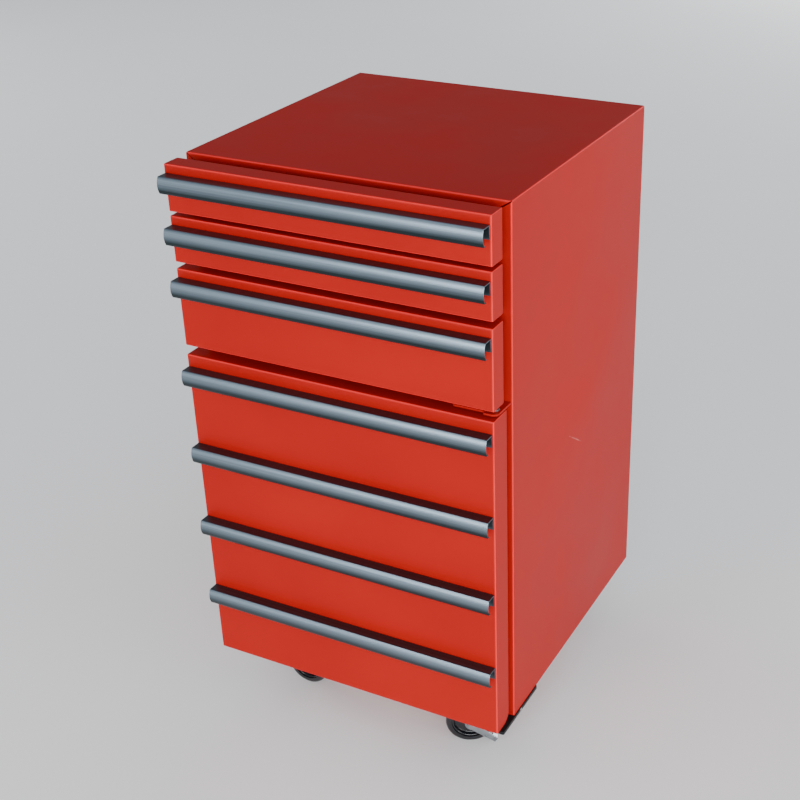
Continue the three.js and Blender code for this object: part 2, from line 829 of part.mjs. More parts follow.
// Half the wheel's section in [radius, across], mirrored about the middle of the tread.
function wheel() {
  const half = wheelWidth / 2;
  const section = [
    [axleRadius + axlePlay, half + 1],
    [10, half + 1],
    [12, half * 0.7],
    [wheelRadius - 9.5, half * 0.7],
    [wheelRadius - 8.5, half],
    [wheelRadius - 3, half],
    [wheelRadius, half * 0.55],
  ];
  const outline = [
    ...section.map(([r, a]) => [r, -a]),
    ...section.toReversed(),
    [axleRadius + axlePlay, -half - 1],
  ].map(([r, a]) => new THREE.Vector2(r, a));
  return new THREE.LatheGeometry(outline, 24).translate(casterTrail, 0, -axleDrop);
}

// The brake lever about its pivot on the axle: two cheeks outside the fork and a foot pad.
function brakeLever() {
  const padInner = wheelRadius + padGap;
  const leverLength = padInner + padLength;
  const cheek = [...arc(0, 0, 8, 60, -60, 6), [-leverLength, -5], [-leverLength, 3]];
  return cut(
    join(
      prism("y", cheek, -leverOuter, -leverInner),
      prism("y", cheek, leverInner, leverOuter),
      box(-leverLength, -padInner, -leverOuter, leverOuter, 1, 1 + leverWall),
    ),
    rod("y", axleRadius + axlePlay, -leverOuter - 1, leverOuter + 1, [0, 0], 16),
  );
}

// corner, side of x, distance of its swivel from the front frame, heading, tilt of its lever
const rearSwivel = cabinetDepth - casterSetback;
const casters = [
  ["front_left", -1, casterSetback, -4, brakeOff],
  ["front_right", 1, casterSetback, 208, brakeOn],
  ["rear_left", -1, rearSwivel, -32, null],
  ["rear_right", 1, rearSwivel, 221, null],
];
for (const [corner, side, y, heading, tilt] of casters) {
  const x = side * (halfWidth - casterInset);
  piece(`caster_plate_${corner}`, zincSteel, plateSolid(x, y), chest);
  const swivel = new THREE.Group();
  swivel.position.set(x, y, 0);
  swivel.rotation.z = THREE.MathUtils.degToRad(heading);
  piece(`caster_fork_${corner}`, zincSteel, fork(), swivel);
  piece(`caster_wheel_${corner}`, blackPlastic, wheel(), swivel);
  if (tilt !== null) {
    const pivot = new THREE.Group();
    pivot.position.set(casterTrail, 0, -axleDrop);
    pivot.rotation.y = THREE.MathUtils.degToRad(tilt);
    piece(`brake_lever_${corner}`, zincSteel, brakeLever(), pivot);
    swivel.add(pivot);
  }
  chest.add(swivel);
}

// ---- Stand the chest on the floor with the origin under its middle ----

chest.position.set(0, (faceReach + pullDepth - cabinetDepth) / 2, casterHeight);
const part = new THREE.Group();
part.add(chest);

export default part;
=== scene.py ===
import json
import math

import bmesh
import bpy
from mathutils import Matrix, Vector


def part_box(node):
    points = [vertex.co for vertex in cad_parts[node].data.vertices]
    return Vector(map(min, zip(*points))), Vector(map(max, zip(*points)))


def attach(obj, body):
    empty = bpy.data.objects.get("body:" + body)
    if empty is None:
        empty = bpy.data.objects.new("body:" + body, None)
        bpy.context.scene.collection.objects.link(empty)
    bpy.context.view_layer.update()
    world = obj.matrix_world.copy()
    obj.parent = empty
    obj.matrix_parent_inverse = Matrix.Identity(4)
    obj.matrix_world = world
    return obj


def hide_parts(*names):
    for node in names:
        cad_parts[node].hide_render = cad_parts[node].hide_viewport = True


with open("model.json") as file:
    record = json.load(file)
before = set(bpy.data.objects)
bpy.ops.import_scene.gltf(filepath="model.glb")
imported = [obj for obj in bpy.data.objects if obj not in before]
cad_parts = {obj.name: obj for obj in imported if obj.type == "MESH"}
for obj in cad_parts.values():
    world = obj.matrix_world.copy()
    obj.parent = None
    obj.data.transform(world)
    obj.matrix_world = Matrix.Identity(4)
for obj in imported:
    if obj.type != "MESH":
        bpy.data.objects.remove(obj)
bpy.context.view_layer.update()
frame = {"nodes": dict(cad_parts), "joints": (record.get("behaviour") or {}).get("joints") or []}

MM = 0.001

# ---- Camera ----
# A long lens a little above the chest, looking down on its front right corner.

camera_place = Vector((0.90970, -1.60564, 1.43790))
azimuth = math.radians(26.81)
elevation = math.radians(27.32)
roll = math.radians(-0.93)
camera = bpy.data.objects.new("camera", bpy.data.cameras.new("camera"))
bpy.context.scene.collection.objects.link(camera)
camera.data.lens = 62.26
camera.data.shift_x = -0.1014
camera.data.shift_y = -0.0107
looking = Vector((
    -math.sin(azimuth) * math.cos(elevation),
    math.cos(azimuth) * math.cos(elevation),
    -math.sin(elevation),
))
level = looking.cross(Vector((0, 0, 1))).normalized()
upright = level.cross(looking)
across = math.cos(roll) * level + math.sin(roll) * upright
above = math.cos(roll) * upright - math.sin(roll) * level
facing = Matrix((across, above, -looking)).transposed()
camera.matrix_world = Matrix.Translation(camera_place) @ facing.to_4x4()
bpy.context.scene.camera = camera

# ---- Studio ----
# A pale floor that runs out of sight, five soft panels round the chest and far from it, and a soft
# surround that is brighter at the front right, so that the fronts and the side are lit most.


def colour(red, green, blue):
    """A colour given as on a screen, 0 to 255, for a shader's socket."""
    def linear(c):
        return c / 12.92 if c <= 0.04045 else ((c + 0.055) / 1.055) ** 2.4
    return tuple(linear(c / 255) for c in (red, green, blue)) + (1.0,)


class Wire:
    """The outlet of a node in a finish. Sums and products written with it add Math nodes."""

    def __init__(self, finish, socket):
        self.finish = finish
        self.socket = socket

    def sum(self, operation, first, second):
        return self.finish.node("Math", {"operation": operation}, [first, second])

    def __add__(self, other):
        return self.sum("ADD", self, other)

    def __mul__(self, other):
        return self.sum("MULTIPLY", self, other)

    __radd__ = __add__
    __rmul__ = __mul__


class Finish:
    """A surface finish, made of nodes round one Principled shader."""

    def __init__(self, name, **sockets):
        self.material = bpy.data.materials.new(name)
        self.material.use_nodes = True
        self.tree = self.material.node_tree
        self.shader = self.tree.nodes["Principled BSDF"]
        self.place = self.node("TexCoord", {}, {}, "Object")
        self.shows(**sockets)

    def fill(self, node, sockets):
        pairs = sockets.items() if isinstance(sockets, dict) else enumerate(sockets)
        for name, value in pairs:
            if isinstance(value, Wire):
                self.tree.links.new(value.socket, node.inputs[name])
            else:
                node.inputs[name].default_value = value

    def node(self, kind, settings, sockets, outlet=0):
        made = self.tree.nodes.new("ShaderNode" + kind)
        for name, value in settings.items():
            setattr(made, name, value)
        self.fill(made, sockets)
        return Wire(self, made.outputs[outlet])

    def shows(self, **sockets):
        self.fill(self.shader, {name.replace("_", " "): value for name, value in sockets.items()})

    def grain(self, scale, detail=2.0, stretch=(1.0, 1.0, 1.0)):
        spot = self.node("Mapping", {}, {"Vector": self.place, "Scale": stretch})
        return self.node("TexNoise", {}, {"Vector": spot, "Scale": scale, "Detail": detail})

    def between(self, value, low, high, start=0.0, end=1.0):
        sockets = {"Value": value, "From Min": low, "From Max": high, "To Min": start, "To Max": end}
        return self.node("MapRange", {}, sockets)

    def tint(self, share, first, second):
        return self.node("Mix", {"data_type": "RGBA"}, {0: share, 6: first, 7: second}, 2)

    def relief(self, height):
        return self.node("Bump", {}, {"Height": height, "Distance": 1.0})


def new_piece(name, points, faces):
    mesh = bpy.data.meshes.new(name)
    mesh.from_pydata([tuple(p) for p in points], [], faces)
    piece = bpy.data.objects.new(name, mesh)
    bpy.context.scene.collection.objects.link(piece)
    return piece


floor_reach = 30.0
corners = [(-1, -1), (1, -1), (1, 1), (-1, 1)]
floor = new_piece("floor", [(x * floor_reach, y * floor_reach, 0) for x, y in corners], [(0, 1, 2, 3)])
pale = Finish("pale_floor", Roughness=0.9)
pale.shows(Base_Color=pale.tint(pale.grain(1.5), colour(246, 246, 246), colour(250, 250, 250)))
floor.data.materials.append(pale.material)


def soft_panel(name, place, aim_height, width, height, power):
    lamp = bpy.data.objects.new(name, bpy.data.lights.new(name, "AREA"))
    bpy.context.scene.collection.objects.link(lamp)
    lamp.data.shape = "RECTANGLE"
    lamp.data.size = width
    lamp.data.size_y = height
    lamp.data.energy = power
    lamp.location = place
    aim = Vector((0, 0, aim_height)) - Vector(place)
    lamp.rotation_euler = aim.to_track_quat("-Z", "Y").to_euler()


soft_panel("front_panel", (2.1, -3.4, 1.2), 0.45, 2.6, 1.8, 135)
soft_panel("pull_panel", (-1.0, -3.9, 1.15), 0.5, 1.1, 1.3, 42)
soft_panel("side_panel", (3.9, -0.9, 0.9), 0.45, 2.2, 1.6, 55)
soft_panel("rear_panel", (0.6, 7.0, 1.2), 0.45, 3.2, 2.0, 180)
soft_panel("left_panel", (-6.0, 0.6, 1.4), 0.45, 3.0, 2.0, 110)
surround = bpy.data.worlds.new("surround")
bpy.context.scene.world = surround
surround.use_nodes = True
sky = surround.node_tree
heading = sky.nodes.new("ShaderNodeVectorMath")
heading.operation = "DOT_PRODUCT"
heading.inputs[1].default_value = (0.6, -0.8, 0.0)
sky.links.new(sky.nodes.new("ShaderNodeTexCoord").outputs["Generated"], heading.inputs[0])
forward = sky.nodes.new("ShaderNodeMapRange")
sky.links.new(heading.outputs["Value"], forward.inputs["Value"])
for name, value in {"From Min": -0.8, "From Max": 0.8, "To Min": 0.35, "To Max": 1.10}.items():
    forward.inputs[name].default_value = value
sky.links.new(forward.outputs[0], sky.nodes["Background"].inputs["Strength"])
sky.nodes["Background"].inputs["Color"].default_value = colour(236, 242, 248)

# ---- Cabinet shell ----
# One sheet of 1.2 mm steel folded round the sides and the top, with its front flanges mitred at
# the top corners and its rear flanges turned in for the back panel. Red powder coat all over.

sheet = 1.2 * MM
fold = 2.8 * MM
red_coat = Finish("red_powder_coat", Metallic=0.0, Specular_IOR_Level=0.08)


def powder_coat(finish, deep, bright, fold_highlight_colour):
    """Sprayed and baked powder: a faint mottle, fine orange peel, and a painted highlight along its folds.
    """
    mottle = finish.grain(5.0, 4.0)
    cloud = finish.grain(1.3, 2.0)
    # The fold attribute masks a painted highlight: the colour turns light red where faces turn between the
    # flats.
    folds = finish.node("Attribute", {"attribute_name": "fold"}, {}, "Fac")
    body = finish.tint(finish.between(mottle * 0.6 + cloud * 0.4, 0.35, 0.65), deep, bright)
    finish.shows(
        Base_Color=finish.tint(folds * 0.85, body, fold_highlight_colour),
        Roughness=finish.between(mottle, 0.3, 0.7, 0.34, 0.46),
        Normal=finish.relief(finish.grain(420.0, 1.0) * (0.012 * MM) + finish.grain(9.0) * (0.10 * MM)),
    )


# The last colour is the painted highlight along the folds.
powder_coat(red_coat, colour(158, 20, 14), colour(168, 24, 17), colour(238, 52, 54))


def scratch(finish, middle, angle, length, width):
    """A light scratch down to the first coat, on a wall that faces sideways."""
    near = finish.node("Mapping", {"vector_type": "TEXTURE"}, {
        "Vector": finish.place, "Location": middle, "Rotation": (angle, 0.0, 0.0),
        "Scale": (4 * MM, length / 2, width / 2),
    })
    away = finish.node("VectorMath", {"operation": "LENGTH"}, {0: near}, "Value")
    mark = finish.between(away, 1.1, 0.4) * finish.between(finish.grain(260.0), 0.35, 0.6)
    under = finish.shader.inputs["Base Color"].links[0].from_socket
    finish.shows(Base_Color=finish.tint(mark * 0.55, Wire(finish, under), colour(236, 150, 138)))


scratch(red_coat, (0.240, 0.018, 0.454), math.radians(-34.6), 64 * MM, 2.0 * MM)


def arc(start, end, steps):
    """The angles of an arc, in degrees, as pairs of cosine and sine."""
    turns = [math.radians(start + (end - start) * i / steps) for i in range(steps + 1)]
    return [(math.cos(t), math.sin(t)) for t in turns]


def loft(name, rings, around=True, joined=False, capped=False):
    """Quads between rings of as many points each: around closes a ring, joined the row of rings."""
    count = len(rings[0])
    spans = len(rings) if joined else len(rings) - 1
    faces = []
    for i in range(spans):
        low, high = i * count, (i + 1) % len(rings) * count
        for j in range(count if around else count - 1):
            k = (j + 1) % count
            faces.append((low + j, low + k, high + k, high + j))
    if capped:
        faces.append(tuple(range(count))[::-1])
        faces.append(tuple(range(len(rings) * count - count, len(rings) * count)))
    piece = new_piece(name, [p for ring in rings for p in ring], faces)
    shape = bmesh.new()
    shape.from_mesh(piece.data)
    bmesh.ops.recalc_face_normals(shape, faces=shape.faces)
    shape.to_mesh(piece.data)
    shape.free()
    return piece


def bake(piece):
    """Applies the modifiers so far."""
    bpy.context.view_layer.update()
    graph = bpy.context.evaluated_depsgraph_get()
    mesh = bpy.data.meshes.new_from_object(piece.evaluated_get(graph))
    piece.modifiers.clear()
    piece.data = mesh


def settle(piece):
    """The piece with its modifiers as one plain mesh, smooth between its sharp edges."""
    piece.data.set_sharp_from_angle(angle=math.radians(32))
    even = piece.modifiers.new("even", "WEIGHTED_NORMAL")
    even.keep_sharp = True
    bake(piece)
    return piece


def paint_fold_highlights(piece):
    """Writes how far each face turns between the flats, where a highlight is painted on the folds."""
    turning = piece.data.attributes.new("fold", "FLOAT", "CORNER")
    for face in piece.data.polygons:
        turn = 2 * (1 - max(part ** 2 for part in face.normal))
        for corner in face.loop_indices:
            turning.data[corner].value = min(turn, 1.0)


def thicken(piece, wall):
    walls = piece.modifiers.new("wall", "SOLIDIFY")
    walls.thickness = wall
    walls.offset = -1.0
    walls.use_even_offset = True


def ease(piece, width, segments=2):
    edges = piece.modifiers.new("edges", "BEVEL")
    edges.width = width
    edges.segments = segments
    edges.limit_method = "ANGLE"
    edges.angle_limit = math.radians(35)
    edges.miter_outer = "MITER_ARC"


def carve(piece, *cutters, operation="DIFFERENCE"):
    """Cuts other pieces out of a closed piece, or joins them to it, and throws them away."""
    for cutter in cutters:
        cut = piece.modifiers.new("cut", "BOOLEAN")
        cut.operation = operation
        cut.solver = "EXACT"
        cut.object = cutter
    bake(piece)
    for cutter in cutters:
        bpy.data.objects.remove(cutter)


def fit(piece, finish, slot, body, *stands_for):
    """Gives a piece its finish, the body that it moves with, and the solids that it stands for."""
    piece.data.materials.clear()
    piece.data.materials.append(finish.material)
    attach(piece, body)
    if stands_for:
        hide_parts(*stands_for)


shell_low, shell_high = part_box("cabinet_shell")
shell_half = shell_high.x
front_side, front_top, rear_turn = 24 * MM, 16 * MM, 14 * MM
crown_fold = 2.6 * MM


def wrap_ring(side_inset, top_inset, y):
    """The wrap seen from the front, from the foot of one side over the top to the other foot."""
    side = shell_half - side_inset
    top = shell_high.z - top_inset
    bend = max(crown_fold - max(side_inset, top_inset), 0.2 * MM)
    left = [(-side + bend + bend * c, y, top - bend + bend * s) for c, s in arc(180, 90, 5)]
    right = [(side - bend + bend * c, y, top - bend + bend * s) for c, s in arc(90, 0, 5)]
    return [(-side, y, shell_low.z)] + left + right + [(side, y, shell_low.z)]


def folded_rings(ring, front, back, front_edge, back_edge):
    """Rings from a front edge over two folds to a back edge. ring(inset pair, y) gives each."""
    turn = arc(90, 0, 5)
    rings = [ring(*front_edge, front)]
    rings += [ring(fold * (1 - c), fold * (1 - c), front + fold * (1 - s)) for c, s in turn]
    rings += [ring(fold * (1 - c), fold * (1 - c), back - fold * (1 - s)) for c, s in turn[::-1]]
    return rings + [ring(*back_edge, back)]


shell_rings = folded_rings(
    wrap_ring, shell_low.y, shell_high.y, (front_side, front_top), (rear_turn, rear_turn)
)
shell = loft("cabinet_wrap", shell_rings, around=False)
thicken(shell, sheet)
bake(shell)


def slit(side):
    """The mitre between a side flange and the top flange, stopped short of the corner."""
    stop = 0.8 * MM
    past = 1.0 * MM
    inner = Vector((side * (shell_half - front_side - past), 0, shell_high.z - front_top - 0.7 * MM))
    outer = Vector((side * (shell_half - stop), 0, shell_high.z - stop))
    half_width = Vector((0, 0, 0.9 * MM))
    outline = (inner - half_width, outer - half_width, outer + half_width, inner + half_width)
    depths = (shell_low.y - past, shell_low.y + 2 * sheet)
    return loft("cutter", [[p + Vector((0, y, 0)) for p in outline] for y in depths], capped=True)


carve(shell, slit(-1), slit(1))
ease(shell, 0.3 * MM)
settle(shell)
paint_fold_highlights(shell)
fit(shell, red_coat, "red_powder_coat", "cabinet", "cabinet_shell")

# ---- Base pan, deck and back panel ----
# The base pan closes the bottom and turns up as a sill behind the door; the deck divides the
# drawers from the cold space. The back panel is plain galvanised sheet, screwed to the flanges.

galvanised = Finish("galvanised_sheet", Metallic=0.9)
spangle = galvanised.node("TexVoronoi", {}, {"Vector": galvanised.place, "Scale": 90.0}, "Color")
flake = galvanised.node("SeparateColor", {}, {"Color": spangle}, 0)
galvanised.shows(
    Base_Color=galvanised.tint(flake, colour(164, 168, 171), colour(190, 194, 197)),
    Roughness=galvanised.between(flake + galvanised.grain(40.0) * 0.3, 0.0, 1.3, 0.34, 0.5),
    Normal=galvanised.relief(galvanised.grain(14.0) * (0.15 * MM)),
)


def rounded_copy(node, name, edge, segments=2):
    """A copy of a solid with its facets merged and its edges eased."""
    piece = bpy.data.objects.new(name, frame["nodes"][node].data.copy())
    bpy.context.scene.collection.objects.link(piece)
    shape = bmesh.new()
    shape.from_mesh(piece.data)
    bmesh.ops.remove_doubles(shape, verts=shape.verts, dist=0.002 * MM)
    straight = math.radians(0.6)
    bmesh.ops.dissolve_limit(shape, angle_limit=straight, verts=shape.verts, edges=shape.edges)
    bmesh.ops.connect_verts_concave(shape, faces=shape.faces)
    shape.to_mesh(piece.data)
    shape.free()
    if edge:
        ease(piece, edge, segments)
    return settle(piece)


fit(rounded_copy("base_pan", "bottom_pan", 0.4 * MM), red_coat, "red_powder_coat", "cabinet", "base_pan")
fit(rounded_copy("drawer_deck", "deck", 0.4 * MM), red_coat, "red_powder_coat", "cabinet", "drawer_deck")
rear_panel = rounded_copy("back_panel", "rear_panel", 0.3 * MM)
fit(rear_panel, galvanised, "galvanised_sheet", "cabinet", "back_panel")

# ---- Drawer fronts and door skin ----
# Folded steel pans with welded and dressed corners, turned in at the back by 12 mm. The door's
# is deeper, has a pin hole at each end, and its heel is rounded off over the lower hinge.

pan_corner = 1.6 * MM
pan_return = 12 * MM


def pan(name, low, high):
    """A folded pan between two corners, its face closed and its back open inside the return."""
    def ring(side_inset, top_inset, y):
        bend = max(pan_corner - side_inset, 0.15 * MM)
        x0, x1 = low.x + side_inset + bend, high.x - side_inset - bend
        z0, z1 = low.z + top_inset + bend, high.z - top_inset - bend
        quarters = [(x1, z1, 0), (x0, z1, 90), (x0, z0, 180), (x1, z0, 270)]
        return [(x + bend * c, y, z + bend * s) for x, z, a in quarters for c, s in arc(a, a + 90, 4)]

    rings = folded_rings(ring, low.y, high.y, (fold, fold), (pan_return, pan_return))
    piece = loft(name, rings[1:])
    shape = bmesh.new()
    shape.from_mesh(piece.data)
    shape.verts.ensure_lookup_table()
    shape.faces.new([shape.verts[i] for i in range(len(rings[0]))])
    bmesh.ops.recalc_face_normals(shape, faces=shape.faces)
    shape.to_mesh(piece.data)
    shape.free()
    thicken(piece, sheet)
    bake(piece)
    return piece


for number in (1, 2, 3):
    front = pan(f"drawer_panel_{number}", *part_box(f"drawer_front_{number}"))
    ease(front, 0.25 * MM)
    settle(front)
    paint_fold_highlights(front)
    fit(front, red_coat, "red_powder_coat", f"drawer_{number}", f"drawer_front_{number}")


def lathe(name, profile, axis, centre, steps=48):
    """Turns a closed outline of (radius, along) round an axis."""
    turn = Vector((0, 0, 1)).rotation_difference(Vector(axis)).to_matrix()
    rings = []
    for c, s in arc(0, 360, steps)[:-1]:
        rings.append([Vector(centre) + turn @ Vector((r * c, r * s, along)) for r, along in profile])
    piece = loft(name, rings, joined=True)
    shape = bmesh.new()
    shape.from_mesh(piece.data)
    bmesh.ops.remove_doubles(shape, verts=shape.verts, dist=0.001 * MM)
    bmesh.ops.recalc_face_normals(shape, faces=shape.faces)
    shape.to_mesh(piece.data)
    shape.free()
    return piece


def bar(radius, low, high, centre):
    """A round upright cutter."""
    return lathe("cutter", [(0, low), (radius, low), (radius, high), (0, high)], (0, 0, 1), centre, 24)


joints = {joint["name"]: joint for joint in frame["joints"]}
pin_x, pin_y, _ = joints["door_hinge"]["pos_m"]
pin_line = Vector((pin_x, pin_y, 0))
door_low, door_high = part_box("door_skin")
pin_hole = 4 * MM
heel = 21 * MM
heel_x = pin_line.x + pin_hole + 0.6 * MM
heel_rings = []
for x in (heel_x, door_high.x + MM):
    curve = [(x, door_high.y - heel + heel * c, door_low.z + heel + heel * s) for c, s in arc(0, -90, 10)]
    under = [(x, door_high.y - heel, door_low.z - MM), (x, door_high.y + MM, door_low.z - MM)]
    heel_rings.append(curve + under + [(x, door_high.y + MM, door_low.z + heel)])
door_skin = pan("door_panel", door_low, door_high)
carve(
    door_skin,
    loft("cutter", heel_rings, capped=True),
    bar(pin_hole, door_low.z - MM, door_low.z + 3 * MM, pin_line),
    bar(pin_hole, door_high.z - 3 * MM, door_high.z + MM, pin_line),
)
ease(door_skin, 0.25 * MM)
settle(door_skin)
paint_fold_highlights(door_skin)
fit(door_skin, red_coat, "red_powder_coat", "door", "door_skin")

# ---- Full-width pulls ----
# Seven lengths of one aluminium extrusion: a flange on the face, a flat top, a bowed front wall
# with a lip under it. Satin anodised, sawn to length, with the die's fine lines along it.

satin = Finish("satin_aluminium", Metallic=0.9)
lines = satin.grain(900.0, 3.0, (0.004, 1.0, 1.0))
# The front wall's colour is a painted reflection: a dim top edge, a light upper part, and dark teal towards
# the bottom.
reflection_drop = satin.node("Attribute", {"attribute_name": "reflection_drop"}, {}, "Fac")
streak = satin.between(lines, 0.3, 0.7)
bright = satin.tint(streak, colour(118, 132, 144), colour(138, 152, 164))
painted_dark_reflection = satin.tint(streak, colour(26, 38, 41), colour(36, 48, 52))
edge = satin.tint(streak, colour(84, 97, 108), colour(98, 112, 124))
wall = satin.tint(satin.between(reflection_drop, 0.2, 0.8), bright, painted_dark_reflection)
satin.shows(
    Base_Color=satin.tint(satin.between(reflection_drop, 0.0, 0.16), edge, wall),
    Roughness=satin.between(lines, 0.3, 0.7, 0.28, 0.40),
    Normal=satin.relief(lines * (0.012 * MM)),
)


def pull(name, low, high):
    """One pull, marked with how far down its front each corner lies for its painted reflection, or with
    painted shade behind it.
    """
    wall, flange, lip, bulge = 1.6 * MM, 18.5 * MM, 3.4 * MM, 3.2 * MM
    # A fixed darker tone painted as shade on the faces behind the front wall.
    shaded = 0.65
    height = high.z - low.z
    bow = height ** 2 / (8 * bulge) + bulge / 2
    centre = low.y + bow
    middle = (low.z + high.z) / 2
    reach = math.degrees(math.asin(height / 2 / bow))
    inner = bow - wall
    inner_reach = math.degrees(math.asin((height / 2 - wall) / inner))
    lip_y = low.y + bulge + lip
    section = [(high.y, high.z)]
    section += [(centre - bow * c, middle + bow * s) for c, s in arc(reach, -reach, 18)]
    section += [(lip_y, low.z), (lip_y, low.z + wall)]
    section += [(centre - inner * c, middle + inner * s) for c, s in arc(-inner_reach, inner_reach, 18)]
    section += [(high.y - wall, high.z - wall), (high.y - wall, high.z - flange), (high.y, high.z - flange)]
    piece = loft(name, [[(x, y, z) for y, z in section] for x in (low.x, high.x)], capped=True)
    ease(piece, 0.35 * MM)
    settle(piece)
    depth = piece.data.attributes.new("reflection_drop", "FLOAT", "CORNER")
    for face in piece.data.polygons:
        for corner in face.loop_indices:
            rise = piece.data.vertices[piece.data.loops[corner].vertex_index].co.z
            behind = face.center.y > low.y + bulge + lip / 2 or face.normal.y > 0.3
            depth.data[corner].value = shaded if behind else (high.z - rise) / height
    return piece


for number in (1, 2, 3):
    grip = pull(f"drawer_handle_{number}", *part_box(f"drawer_pull_{number}"))
    fit(grip, satin, "satin_aluminium", f"drawer_{number}", f"drawer_pull_{number}")
for number in (1, 2, 3, 4):
    grip = pull(f"door_handle_{number}", *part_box(f"door_pull_{number}"))
    fit(grip, satin, "satin_aluminium", "door", f"door_pull_{number}")

# ---- Fasteners ----
# Pan-head screws and hexagon bolts, each one head repeated over marked points.


class Recipe:
    """A Geometry Nodes tree with named sizes. step() adds a node; use() runs it on some points."""

    def __init__(self, name, **sizes):
        kinds = {int: "NodeSocketInt", float: "NodeSocketFloat", tuple: "NodeSocketVector"}
        self.group = bpy.data.node_groups.new(name, "GeometryNodeTree")
        face = self.group.interface
        face.new_socket("Points", in_out="INPUT", socket_type="NodeSocketGeometry")
        for size, value in sizes.items():
            named = size.replace("_", " ")
            face.new_socket(named, in_out="INPUT", socket_type=kinds[type(value)]).default_value = value
        face.new_socket("Material", in_out="INPUT", socket_type="NodeSocketMaterial")
        face.new_socket("Piece", in_out="OUTPUT", socket_type="NodeSocketGeometry")
        self.given = self.group.nodes.new("NodeGroupInput").outputs

    def step(self, kind, settings=None, sockets=None, outlet=0):
        made = self.group.nodes.new(kind)
        for name, value in (settings or {}).items():
            setattr(made, name, value)
        for name, value in (sockets or {}).items():
            several = value if isinstance(value, list) else [value]
            for one in several:
                if isinstance(one, bpy.types.NodeSocket):
                    self.group.links.new(one, made.inputs[name])
                else:
                    made.inputs[name].default_value = one
        return made.outputs[outlet]

    def end(self, geometry):
        plain = self.step("GeometryNodeRealizeInstances", sockets={0: geometry})
        coated = self.step("GeometryNodeSetMaterial", sockets={0: plain, "Material": self.given["Material"]})
        self.group.links.new(coated, self.group.nodes.new("NodeGroupOutput").inputs[0])

    def use(self, name, finish, points, **sizes):
        piece = new_piece(name, points, [])
        run = piece.modifiers.new("made", "NODES")
        run.node_group = self.group
        for item in self.group.interface.items_tree:
            if item.in_out == "INPUT" and item.name in sizes:
                run[item.identifier] = sizes[item.name]
            elif item.in_out == "INPUT" and item.name == "Material":
                run[item.identifier] = finish.material
        bake(piece)
        return piece


zinc = Finish("zinc_plate", Metallic=0.95)
bloom = zinc.grain(60.0, 4.0)
zinc.shows(
    Base_Color=zinc.tint(zinc.between(bloom, 0.35, 0.65), colour(140, 146, 150), colour(172, 177, 180)),
    Roughness=zinc.between(bloom, 0.3, 0.7, 0.24, 0.4),
    Normal=zinc.relief(zinc.grain(350.0) * (0.01 * MM)),
)

# A pan head: a flattened ball with a cross recess, turned to face outwards and spun at random.
pan_screw = Recipe(
    "pan_screw", Radius=3.2 * MM, Height=1.5 * MM, Slot=0.9 * MM, Facing=(0.0, 1.0, 0.0), Seed=3
)
ball = pan_screw.step("GeometryNodeMeshUVSphere", sockets={"Segments": 20, "Rings": 10, "Radius": 1.0})
wide = pan_screw.step("ShaderNodeCombineXYZ", sockets={
    0: pan_screw.given["Radius"], 1: pan_screw.given["Radius"], 2: pan_screw.given["Height"],
})
dome = pan_screw.step("GeometryNodeTransform", sockets={0: ball, "Scale": wide})
cross = []
for long, short in ((0, 1), (1, 0)):
    size = pan_screw.step("ShaderNodeCombineXYZ", sockets={
        long: pan_screw.given["Radius"], short: pan_screw.given["Slot"], 2: pan_screw.given["Height"],
    })
    slot_bar = pan_screw.step("GeometryNodeMeshCube", sockets={"Size": size})
    lift = pan_screw.step("ShaderNodeCombineXYZ", sockets={2: pan_screw.given["Height"]})
    cross.append(pan_screw.step("GeometryNodeTransform", sockets={0: slot_bar, "Translation": lift}))
head = pan_screw.step("GeometryNodeMeshBoolean", {"operation": "DIFFERENCE"}, {
    "Mesh 1": dome, "Mesh 2": cross,
})
faced = pan_screw.step("FunctionNodeAlignRotationToVector", {"axis": "Z"}, {
    "Vector": pan_screw.given["Facing"],
})
copies = pan_screw.step("GeometryNodeInstanceOnPoints", sockets={
    0: pan_screw.step("GeometryNodeMeshToPoints", sockets={0: pan_screw.given["Points"]}),
    "Instance": head, "Rotation": faced,
})
spin = pan_screw.step("FunctionNodeRandomValue", {"data_type": "FLOAT"}, {
    2: 0.0, 3: math.tau, "Seed": pan_screw.given["Seed"],
}, 1)
turned = pan_screw.step("ShaderNodeCombineXYZ", sockets={2: spin})
pan_screw.end(pan_screw.step("GeometryNodeRotateInstances", sockets={0: copies, "Rotation": turned}))

# A flanged hexagon bolt head, the flange a thin disc under it.
hex_bolt = Recipe("hex_bolt", Radius=6.0 * MM, Height=4.0 * MM, Flange=8.0 * MM, Facing=(0.0, 0.0, -1.0))
nut = hex_bolt.step("GeometryNodeMeshCylinder", sockets={
    "Vertices": 6, "Radius": hex_bolt.given["Radius"], "Depth": hex_bolt.given["Height"],
})
washer = hex_bolt.step("GeometryNodeMeshCylinder", sockets={
    "Vertices": 24, "Radius": hex_bolt.given["Flange"], "Depth": 1.2 * MM,
})
half_up = hex_bolt.step("ShaderNodeMath", {"operation": "MULTIPLY"}, {0: hex_bolt.given["Height"], 1: 0.5})
raised = hex_bolt.step("ShaderNodeCombineXYZ", sockets={2: half_up})
bolt = hex_bolt.step("GeometryNodeJoinGeometry", sockets={
    0: [hex_bolt.step("GeometryNodeTransform", sockets={0: nut, "Translation": raised}), washer],
})
faced = hex_bolt.step("FunctionNodeAlignRotationToVector", {"axis": "Z"}, {
    "Vector": hex_bolt.given["Facing"],
})
hex_bolt.end(hex_bolt.step("GeometryNodeInstanceOnPoints", sockets={
    0: hex_bolt.step("GeometryNodeMeshToPoints", sockets={0: hex_bolt.given["Points"]}),
    "Instance": bolt, "Rotation": faced,
}))

